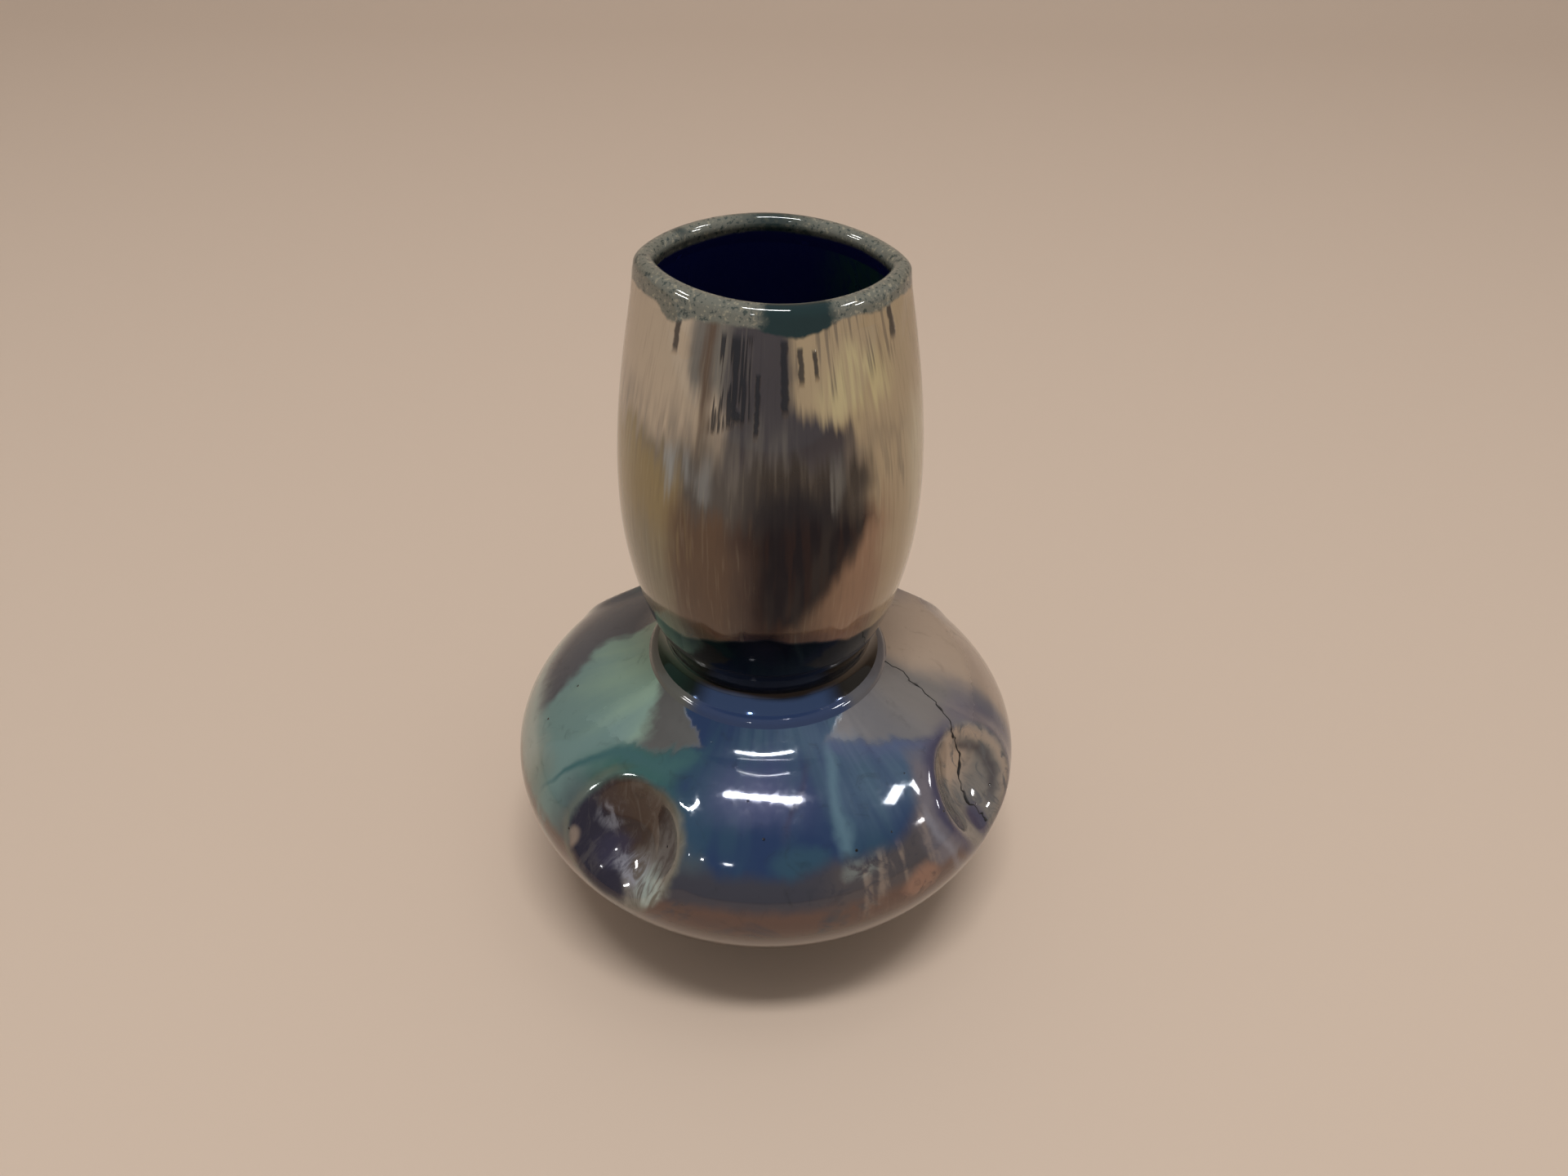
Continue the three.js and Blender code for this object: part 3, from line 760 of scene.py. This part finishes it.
def neckColour(nodes, place):
    waver = nodes.noise(place.point, 0.12, 2.0) - 0.5
    fine = nodes.noise(place.point, 0.7, 3.0) - 0.5
    place.broad = streaks(nodes, place, 7.0, 0.008, 2.0)
    place.narrow = streaks(nodes, place, 20.0, 0.0035, 2.0)
    place.thread = streaks(nodes, place, 44.0, 0.003, 1.0)
    place.softTurn = place.turn + waver * 8 + (place.narrow - 0.5) * 6
    place.softHeight = place.z + waver * 4 + (place.broad - 0.5) * 9 + (place.narrow - 0.5) * 6
    place.edgeTurn = place.turn + waver * 10 + (place.narrow - 0.5) * 5
    place.edgeHeight = place.z + waver * 5 + (place.broad - 0.5) * 9 + (place.narrow - 0.5) * 4
    place.wide = abs(place.turn)
    colour, deep = neckWall(nodes, place)

    # Foot of the neck: black in front, the dark glaze with a painted dark reflection, green at the left, then
    # the belly's blue at the collar, painted lighter as painted light
    edge = place.z + waver * 3 + (place.wide * 0.1).atMost(3.6)
    foot = nodes.paint("black").coat("darkGreen", place.turn.smooth(-30.0, -58.0))
    foot.coat("footOlive", place.turn.smooth(26.0, 52.0))
    footShare = edge.smooth(73.0, 71.8)
    colour.coat(foot, footShare)
    deep = deep.atLeast(footShare * 1.4)
    front = place.wide.smooth(44.0, 28.0)
    # painted light: the lighter collar blue in front
    colour.coat("collar", (place.z + waver * 1.5).smooth(57.0, 55.8) * front)

    # Threads and runs from the lip
    band = (place.z + fine * 2 - place.turn * 0.14).smooth(107.0, 108.5) * place.z.smooth(117.5, 116.0)
    threads = place.thread.smooth(0.46, 0.54) * abs(place.turn + 16.0).smooth(9.0, 7.0)
    raised = threads * band
    for atTurn, top, lowest, halfWidth in neckRuns:
        across = abs(place.turn - atTurn + fine * 2)
        run = across.smooth(halfWidth, halfWidth * 0.5) * place.z.smooth(lowest - 0.6, lowest + 0.8)
        raised = raised.atLeast(run * place.z.smooth(top + 0.8, top))
    blob = spot(place.turn + fine * 4, place.z + fine * 2, -14.1, 107.0, 4.2, 1.4)
    raised = raised.atLeast(blob)
    colour.coat("ink", raised * 0.85)
    return {"colour": lipColour(nodes, place, colour, waver, fine), "deep": deep, "raised": raised}


def lipColour(nodes, place, colour, waver, fine):  # speckled grey green, darker in front, over the wall
    lipEdge = place.z + waver * 1.6 + fine * 0.9 + place.turn.hump(-50.0, 12.0) * 1.2
    rise = lipEdge.smooth(117.5, 118.1)
    drop = place.turn.hump(13.0, 27.0)
    dark = (drop + (waver + fine) * 0.4).smooth(0.05, 0.5)
    roll = (place.z + drop * 1.1 + waver * 1.6 + fine).smooth(117.6, 118.1) * dark
    back = place.wide.hump(180.0, 34.0).atLeast(waver.smooth(0.1, 0.2))
    dark = dark.atLeast(back * place.y.smooth(0.0, 8.0) * 0.85)
    lip = nodes.paint("lip").coat("lipDark", dark)
    specks = nodes.noise(place.point, 1.6, 3.0, 0.6)
    lip.coat("lipDark", specks.smooth(0.56, 0.64) * 0.7)
    lip.coat("pale", specks.smooth(0.42, 0.36) * (1 - dark) * 0.35)
    colour.coat("lipDark", roll).coat(lip, rise)
    normalX, normalY, _ = nodes.split(nodes.add("ShaderNodeTexCoord", {}, {}, "Normal"))
    facing = (normalX * place.x + normalY * place.y) / place.radius
    within = (place.z + waver - place.y * 0.06).smooth(118.6, 118.0)
    return colour.coat("cobalt", (facing + fine * 0.3).smooth(-0.4, -0.75) * within)


# Materials

def freshMaterial(name, tones=None):
    material = bpy.data.materials.new(name)
    material.use_nodes = True
    material.node_tree.nodes.clear()
    return material, NodeMaker(material.node_tree, tones)


def finish(nodes, relief, values):
    relief = {"Height": relief, "Distance": metre, "Strength": 1.0}
    values = values | {"Normal": nodes.add("ShaderNodeBump", {}, relief)}
    surface = nodes.add("ShaderNodeBsdfPrincipled", {}, values)
    nodes.add("ShaderNodeOutputMaterial", {}, {"Surface": surface})


gloss = {  # relief in millimetres
    "ripple": 0.06, "rippleScale": 0.11, "peel": 0.004, "peelScale": 0.9, "pitDepth": 0.25, "runHeight": 0.12,
    "roughness": 0.06, "wear": 0.06, "satin": 0.5, "ior": 1.5, "metallic": 0.1, "deepMetallic": 0.6,
    "coat": 0.25, "coatRoughness": 0.02,
}


def glossyGlaze(name, tones, colourOf, gloss):
    material, nodes = freshMaterial(name, tones)
    place = vasePlace(nodes)
    found = colourOf(nodes, place)
    ripple = nodes.noise(place.point, gloss["rippleScale"], 2.0)
    peel = nodes.noise(place.point, gloss["peelScale"], 2.0)
    relief = ripple * gloss["ripple"] + peel * gloss["peel"]
    if "pits" in found:
        relief = relief - found["pits"] * gloss["pitDepth"]
    if "raised" in found:
        relief = relief + found["raised"] * gloss["runHeight"]
    values = {
        "Base Color": found["colour"],
        "Roughness": gloss["roughness"] + peel.smooth(0.4, 0.8) * gloss["wear"],
        "IOR": gloss["ior"],
        "Metallic": gloss["metallic"],
        "Coat Weight": gloss["coat"],
        "Coat Roughness": gloss["coatRoughness"],
    }
    if "satin" in found:
        values["Roughness"] = values["Roughness"] + found["satin"] * gloss["satin"]
        values["Coat Weight"] = gloss["coat"] * (1 - found["satin"])
    if "deep" in found:  # the darkest glaze mirrors less
        values["Metallic"] = gloss["metallic"] + found["deep"] * gloss["deepMetallic"]
        values["Coat Weight"] = gloss["coat"] * (1 - found["deep"]).atLeast(0.0)
    finish(nodes, relief, values)
    return material


liningTones = {
    "cobalt": tone(24, 30, 86),
    "night": tone(12, 14, 50),
    "green": tone(34, 66, 62),
    "streak": tone(14, 22, 84),
}


def liningFinish(nodes, place):
    # painted shade: darker deeper down the inside
    colour = nodes.paint("cobalt").coat("night", place.z.smooth(112.0, 94.0))
    colour.coat("green", place.x.smooth(5.0, 13.0) * place.z.smooth(98.0, 112.0))
    colour.coat("streak", streaks(nodes, place, 18.0, 0.02).smooth(0.45, 0.65) * 0.4)
    return {"colour": colour}


beadTones = {"left": tone(92, 92, 86), "right": tone(92, 90, 94), "front": tone(44, 60, 94)}


def beadFinish(nodes, place):
    colour = nodes.paint("left").coat("right", place.turn.smooth(0.0, 60.0))
    return {"colour": colour.coat("front", abs(place.turn - 2.0).smooth(46.0, 34.0))}


clayFeel = {"grainScale": 1.6, "grain": 0.15, "lines": 9, "lineDepth": 0.02, "roughness": 0.75, "wear": 0.2}


def clayMaterial(name, light, dark):
    material, nodes = freshMaterial(name)
    place = vasePlace(nodes)
    grain = nodes.noise(place.point, clayFeel["grainScale"], 5.0, 0.65)
    lines = nodes.maths("SINE", place.z * clayFeel["lines"] + grain * 3)
    colour = nodes.paint(dark).coat(light, grain.smooth(0.35, 0.65))
    relief = grain * clayFeel["grain"] + lines * clayFeel["lineDepth"]
    roughness = clayFeel["roughness"] + grain * clayFeel["wear"]
    finish(nodes, relief, {"Base Color": colour, "Roughness": roughness})
    return material


lipGloss = gloss | {"metallic": 0.05, "roughness": 0.03, "wear": 0.03}
bellyGlaze = glossyGlaze("belly glaze", bellyTones, bellyColour, gloss)
neckGlaze = glossyGlaze("neck glaze", neckTones, neckColour, gloss)
lipGlaze = glossyGlaze("lip glaze", neckTones, neckColour, lipGloss)
liningGlaze = glossyGlaze("cobalt lining", liningTones, liningFinish, gloss | {"metallic": 0.0, "coat": 0.5})
beadGlaze = glossyGlaze("collar slip", beadTones, beadFinish, gloss | {"metallic": 0.05})
bareClay = clayMaterial("bare clay", tone(176, 146, 112), tone(138, 106, 78))
wallClay = clayMaterial("wall clay", tone(186, 164, 134), tone(150, 124, 98))
print("vase: materials made")


# Pieces

whole = (0, 1)
belowCollar, aboveCollar = (0, outlineSizes["collarShare"]), (outlineSizes["collarShare"], 1)


def placed(name, section, sizes, node, material):
    made = pressed(turned(name, section, sizes["columns"]), material)
    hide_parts(node)
    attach(made, "root")
    print("vase:", made.name, len(made.data.polygons), "faces")
    return made


footSizes = {"width": 4.6, "chamfer": 0.8, "columns": 192}


def footSection():
    outer = outlineSizes["footRadius"]
    inner = outer - footSizes["width"]
    chamfer = footSizes["chamfer"]
    top = heights["foot"]
    corners = [(inner, top), (inner, chamfer), (inner + chamfer, 0), (outer - chamfer, 0), (outer, chamfer)]
    return [Vector(corner) for corner in corners + [(outlineSizes["radii"]["foot"], top)]]


placed("footRing", footSection(), footSizes, "foot_ring", bareClay)

claySizes = {"columns": 144, "underside": 20, "shoulder": 24, "cove": 6, "swell": 14, "taper": 16}
floorHeight = heights["foot"] + outlineSizes["floor"]


def bowlSection():
    well = shareAt("underside", floorHeight)
    outside = stations("underside", 0, 1, claySizes["underside"])
    inside = stations("underside", well, 1, claySizes["underside"])
    outer, inner = inset(outside, clayDepth), inset(inside, clayInside)
    start, end = levelLine(outer[0].x, heights["foot"]), levelLine(inner[0].x, floorHeight)
    return start + outer[1:] + inner[:0:-1] + end[::-1]


def claySection(**spans):
    wall = wallFrom(claySizes, **spans)
    return shell(wall, wall, clayDepth, clayInside)


clayWalls = {
    "bowlWall": ("body_bowl", bowlSection()),
    "shoulderWall": ("body_shoulder", claySection(shoulder=whole, cove=belowCollar)),
    "neckWall": ("neck_barrel", claySection(cove=aboveCollar, swell=whole, taper=whole)),
}
for wallName, (wallNode, wallSection) in clayWalls.items():
    placed(wallName, wallSection, claySizes, wallNode, wallClay)

bellyCoatSizes = {"columns": 300, "bareLine": 0.9, "underside": 44, "shoulder": 50, "cove": 14, "edge": 0.3}


def bellyCoatSection():
    size = bellyCoatSizes
    wall = wallFrom(size, underside=whole, shoulder=whole, cove=belowCollar)
    wall[0] = slid(wall[0], size["bareLine"])
    thickness = outlineSizes["glaze"]
    start, along, inward = wall[0]
    nose = start + inward * thickness / 2 - along * size["edge"]
    return [nose] + shell(wall, wall, 0, thickness)


placed("bellyCoat", bellyCoatSection(), bellyCoatSizes, "body_glaze", bellyGlaze)

rollSizes = {
    "columns": 256, "height": 2.9, "inside": 3.0, "proud": 0.2, "sunk": 0.05, "soften": 4.0,
    "lip": 14, "wall": 24, "insideWall": 8,
    "runs": [(-39, 4.2, 12), (-8, 6.4, 11), (17, 1.2, 18), (65, 5, 10),  # turn, length, spread
             (138, 4.6, 12), (-149, 5.4, 11), (-100, 3.4, 13)],
    "lumps": [(0.25, 17, 0), (0.18, 29, 1)],  # height, how many, start
}


def rollEdge(angle):  # how high the lip's glaze ends, lower where it ran
    turn = math.degrees(angle) + 90
    run = sum(length * math.exp(-((((turn - at + 180) % 360) - 180) / spread) ** 2)
              for at, length, spread in rollSizes["runs"])
    lumps = sum(height * math.sin(angle * count + start) for height, count, start in rollSizes["lumps"])
    return heights["lip"] - rollSizes["height"] - run + lumps


def tapered(places):  # swells from nothing at the first place
    start, sunk = places[0][0], rollSizes["sunk"]
    skin = []
    for point, along, inward in places:
        swell = min(1, (point - start).length / rollSizes["soften"])
        skin.append(point - inward * ((rollSizes["proud"] + sunk) * swell - sunk))
    return skin


def lipArc(depth, count):
    point, along, inward = station("taper", 1)
    half = outlineSizes["lipWidth"] / 2
    middle = point + inward * half
    radius = half - depth
    turns = [math.pi * i / count for i in range(1, count)]
    return [middle - inward * radius * math.cos(turn) + along * radius * math.sin(turn) for turn in turns]


def rollSection(angle):
    size = rollSizes
    outside = stations("taper", shareAt("taper", rollEdge(angle)), 1, size["wall"])
    inside = stations("taper", shareAt("taper", heights["lip"] - size["inside"]), 1, size["insideWall"])
    inner = [(point + inward * liningInside(point.y), along, -inward) for point, along, inward in inside]
    skin = tapered(outside) + lipArc(-size["proud"], size["lip"]) + tapered(inner)[::-1]
    core = inset(inside, liningOutside) + lipArc(outlineSizes["glaze"], size["lip"])[::-1]
    return skin + core + inset(outside, outlineSizes["glaze"])[::-1]


placed("lipRoll", rollSection, rollSizes, "lip_glaze", lipGlaze)

neckCoatSizes = {"columns": 256, "cove": 12, "swell": 34, "taper": 42, "end": 0.98}


def neckCoatSection():
    wall = wallFrom(neckCoatSizes, cove=aboveCollar, swell=whole, taper=(0, neckCoatSizes["end"]))
    return shell(wall, wall, 0, outlineSizes["glaze"])


placed("neckCoat", neckCoatSection(), neckCoatSizes, "neck_glaze", neckGlaze)

beadSizes = {"columns": 256, "width": 2.9, "proud": 0.3, "sunk": 0.03, "rows": 22}


def beadSection():
    collar = station("cove", outlineSizes["collarShare"])
    count = beadSizes["rows"]
    crown = []
    for i in range(count + 1):
        share = i / count
        point, along, inward = slid(collar, beadSizes["width"] * (share - 0.5))
        rise = (beadSizes["proud"] + beadSizes["sunk"]) * math.sin(math.pi * share) ** 2
        crown.append(point + inward * (beadSizes["sunk"] - rise))
    point, along, inward = collar
    return crown + [point + inward * outlineSizes["glaze"]]


placed("collarBead", beadSection(), beadSizes, "collar_bead", beadGlaze)

liningSizes = {
    "columns": 200, "belowLip": 1.2, "underside": 24, "shoulder": 24, "cove": 12, "swell": 20, "taper": 36,
}


def liningSection():
    well, top = shareAt("underside", floorHeight), shareAt("taper", heights["lip"] - liningSizes["belowLip"])
    wall = wallFrom(liningSizes, underside=(well, 1), shoulder=whole, cove=whole, swell=whole, taper=(0, top))
    outer, inner = inset(wall, liningOutside), inset(wall, liningInside)
    low = floorHeight + outlineSizes["gap"]
    high = low + outlineSizes["glaze"]
    return levelLine(outer[0].x, low) + outer[1:] + inner[:0:-1] + levelLine(inner[0].x, high)[::-1]


placed("cobaltLining", liningSection(), liningSizes, "inner_glaze", liningGlaze)

# Hairline crack in the coat at the right, drawn as a fine dark thread

crackSizes = {
    "Thread radius": 0.2,
    "Thread step": 0.2,
    "grain": 420.0,
    "thinnest": 0.45,
    "toneGrain": 900.0,
    "roughness": 0.6,
    "seed": 4,
    "kinks": 4,
    "turnKink": 0.5,
    "heightKink": 0.15,
    "path": [(79.6, 53.1), (79.8, 51.1), (75.8, 50.2), (71.9, 48.9), (69.0, 48.1), (65.0, 47.1), (66.0, 46.0),
             (65.2, 43.8), (61.7, 41.5), (60.5, 39.2), (60.7, 36.4), (60.3, 34.5)],
}


def outlineRadius(height):
    upper = "cove" if height > heights["shoulder"] else "shoulder"
    name = upper if height > heights["belly"] else "underside"
    return station(name, shareAt(name, height))[0].x


def crackPath():  # the path with small kinks, as turns and heights on the outline
    chance = random.Random(crackSizes["seed"])
    kinked = []
    turnKink, heightKink = crackSizes["turnKink"], crackSizes["heightKink"]
    for (turn, height), (nextTurn, nextHeight) in zip(crackSizes["path"], crackSizes["path"][1:]):
        for i in range(crackSizes["kinks"]):
            share = i / crackSizes["kinks"]
            kinked.append((turn + (nextTurn - turn) * share + chance.uniform(-turnKink, turnKink),
                           height + (nextHeight - height) * share + chance.uniform(-heightKink, heightKink)))
    return kinked + [crackSizes["path"][-1]]


def crackMaterial():
    material = bpy.data.materials.new("crack")
    material.use_nodes = True
    nodes = NodeMaker(material.node_tree)
    grain = nodes.noise(nodes.add("ShaderNodeTexCoord", {}, {}, "Object"), crackSizes["toneGrain"])
    surface = material.node_tree.nodes["Principled BSDF"]
    colour = nodes.paint(tone(14, 12, 12)).coat(tone(40, 32, 28), grain.smooth(0.45, 0.7)).colour
    material.node_tree.links.new(colour.socket, surface.inputs["Base Color"])
    surface.inputs["Roughness"].default_value = crackSizes["roughness"]
    return material


def crackPiece():
    line = bpy.data.curves.new("hairlineCrack", "CURVE")
    line.dimensions = "3D"
    spline = line.splines.new("POLY")
    path = crackPath()
    spline.points.add(len(path) - 1)
    for target, (turn, height) in zip(spline.points, path):
        angle = math.radians(turn - 90)
        radius = outlineRadius(height)
        target.co = (radius * math.cos(angle) * metre, radius * math.sin(angle) * metre, height * metre, 1)
    piece = bpy.data.objects.new("hairlineCrack", line)
    scene.collection.objects.link(piece)

    sizes = pressSizes | {key: crackSizes[key] for key in ("Thread radius", "Thread step")}
    nodes, given, size, identifiers = geometryTree("follow crack", sizes)
    values = {"Curve": given, "Length": size["Thread step"] * metre}
    path = nodes.add("GeometryNodeResampleCurve", {"mode": "LENGTH"}, values)
    position = nodes.add("GeometryNodeInputPosition", {}, {})
    moved = pressedPosition(nodes, position, size)
    path = nodes.add("GeometryNodeSetPosition", {}, {"Geometry": path, "Position": moved})
    thick = nodes.noise(position, crackSizes["grain"], 1.0).smooth(0.46, 0.66)
    radius = size["Thread radius"] * metre * (thick + crackSizes["thinnest"])
    profile = nodes.add("GeometryNodeCurvePrimitiveCircle", {}, {"Resolution": 6, "Radius": 1.0})
    path = nodes.add("GeometryNodeSetCurveRadius", {}, {"Curve": path, "Radius": radius})
    values = {"Curve": path, "Profile Curve": profile, "Scale": radius, "Fill Caps": True}
    thread = nodes.add("GeometryNodeCurveToMesh", {}, values)
    closeTree(nodes, thread, crackMaterial())
    made = madePlain(piece, nodes.nodeTree, sizes, identifiers)
    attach(made, "root")
    print("vase: crack", len(made.data.polygons), "faces")


crackPiece()


# Floor, lamps and camera

floorSizes = {  # metres
    "half": 2.5, "back": 1.1, "rise": 1.6, "bend": 0.5, "steps": 24,
    "tone": tone(212, 192, 174), "roughness": 0.9, "shine": 0.1,
}


def floorSweep():
    size = floorSizes
    front, bend = size["back"] - size["bend"], size["bend"]
    profile = [(-size["half"], 0.0), (front, 0.0)]
    for i in range(size["steps"]):
        angle = math.pi / 2 * (i + 1) / size["steps"]
        profile.append((front + bend * math.sin(angle), bend * (1 - math.cos(angle))))
    profile.append((size["back"], size["rise"]))
    points = [(x, y, z) for y, z in profile for x in (-size["half"], size["half"])]
    faces = [(2 * i, 2 * i + 1, 2 * i + 3, 2 * i + 2) for i in range(len(profile) - 1)]
    mesh = bpy.data.meshes.new("floorSweep")
    mesh.from_pydata(points, [], faces)
    mesh.polygons.foreach_set("use_smooth", [True] * len(faces))
    floor = bpy.data.objects.new("floorSweep", mesh)
    scene.collection.objects.link(floor)
    material = bpy.data.materials.new("floor paper")
    material.use_nodes = True
    surface = material.node_tree.nodes["Principled BSDF"]
    surface.inputs["Base Color"].default_value = size["tone"]
    surface.inputs["Roughness"].default_value = size["roughness"]
    surface.inputs["Specular IOR Level"].default_value = size["shine"]
    mesh.materials.append(material)


floorSweep()

softLamps = {  # way to the lamp, distance, length along X and width in metres, power in watts
    "key": ((0.02, -0.33, 1.0), 1.2, (0.44, 0.12), 7.6),
    "fill": ((0.1, -0.2, 1.0), 1.6, (1.1, 0.8), 3.6),
}
glintLamps = {
    "overhead": ((-0.012, -0.105, 1.0), 1.2, (0.44, 0.05), 6.4),
    "row": ((0.63, -0.06, 0.78), 1.3, (0.2, 0.1), 2.0),
    "rowLeft": ((-0.64, 0.05, 0.76), 1.3, (0.2, 0.07), 1.6),
    "right": ((0.84, -0.2, 0.5), 1.3, (0.16, 0.06), 1.6),
    "left": ((-0.84, -0.17, 0.52), 1.3, (0.24, 0.08), 2.2),
    "front": ((-0.22, -0.73, 0.63), 1.3, (0.06, 0.03), 0.3),
}
lampTarget = Vector((0, 0, 0.06))


def addLamp(name, way, distance, size, power):
    light = bpy.data.lights.new(name, "AREA")
    light.shape = "RECTANGLE"
    light.size, light.size_y = size
    light.energy = power
    lamp = bpy.data.objects.new(name, light)
    scene.collection.objects.link(lamp)
    away = Vector(way).normalized()
    lamp.location = away * distance + lampTarget
    lamp.rotation_euler = away.to_track_quat("Z", "Y").to_euler()
    lamp.visible_glossy = name in glintLamps  # soft lamps only light the vase, the others only glint in it
    lamp.visible_diffuse = name in softLamps


for lampName, lampValues in (softLamps | glintLamps).items():
    addLamp(lampName, *lampValues)

roomTone = (0.31, 0.3, 0.29, 1.0)
world = bpy.data.worlds.new("room")
world.use_nodes = True
world.node_tree.nodes["Background"].inputs["Color"].default_value = roomTone
world.node_tree.nodes["Background"].inputs["Strength"].default_value = 1.0
scene.world = world

cameraSizes = {
    "place": (0.0, -154.0, 185.9), "pitch": 38.11, "yaw": 0.91, "roll": 1.316,
    "lens": 28.125, "sensor": 36, "near": 0.01,
}


def addCamera():
    size = cameraSizes
    pitch, yaw, roll = (math.radians(size[key]) for key in ("pitch", "yaw", "roll"))
    forward = Vector((math.sin(yaw) * math.cos(pitch), math.cos(yaw) * math.cos(pitch), -math.sin(pitch)))
    level = Vector((math.cos(yaw), -math.sin(yaw), 0))
    upright = level.cross(forward)
    right = level * math.cos(roll) + upright * math.sin(roll)
    up = upright * math.cos(roll) - level * math.sin(roll)
    camera = bpy.data.cameras.new("camera")
    camera.lens = size["lens"]
    camera.sensor_width = size["sensor"]
    camera.sensor_fit = "HORIZONTAL"
    camera.clip_start = size["near"]
    holder = bpy.data.objects.new("camera", camera)
    scene.collection.objects.link(holder)
    turn = Matrix((right, up, -forward)).transposed().to_4x4()
    holder.matrix_world = Matrix.Translation(Vector(size["place"]) * metre) @ turn
    scene.camera = holder


addCamera()
scene.view_settings.view_transform = "Standard"
print("vase: floor, lamps and camera set")
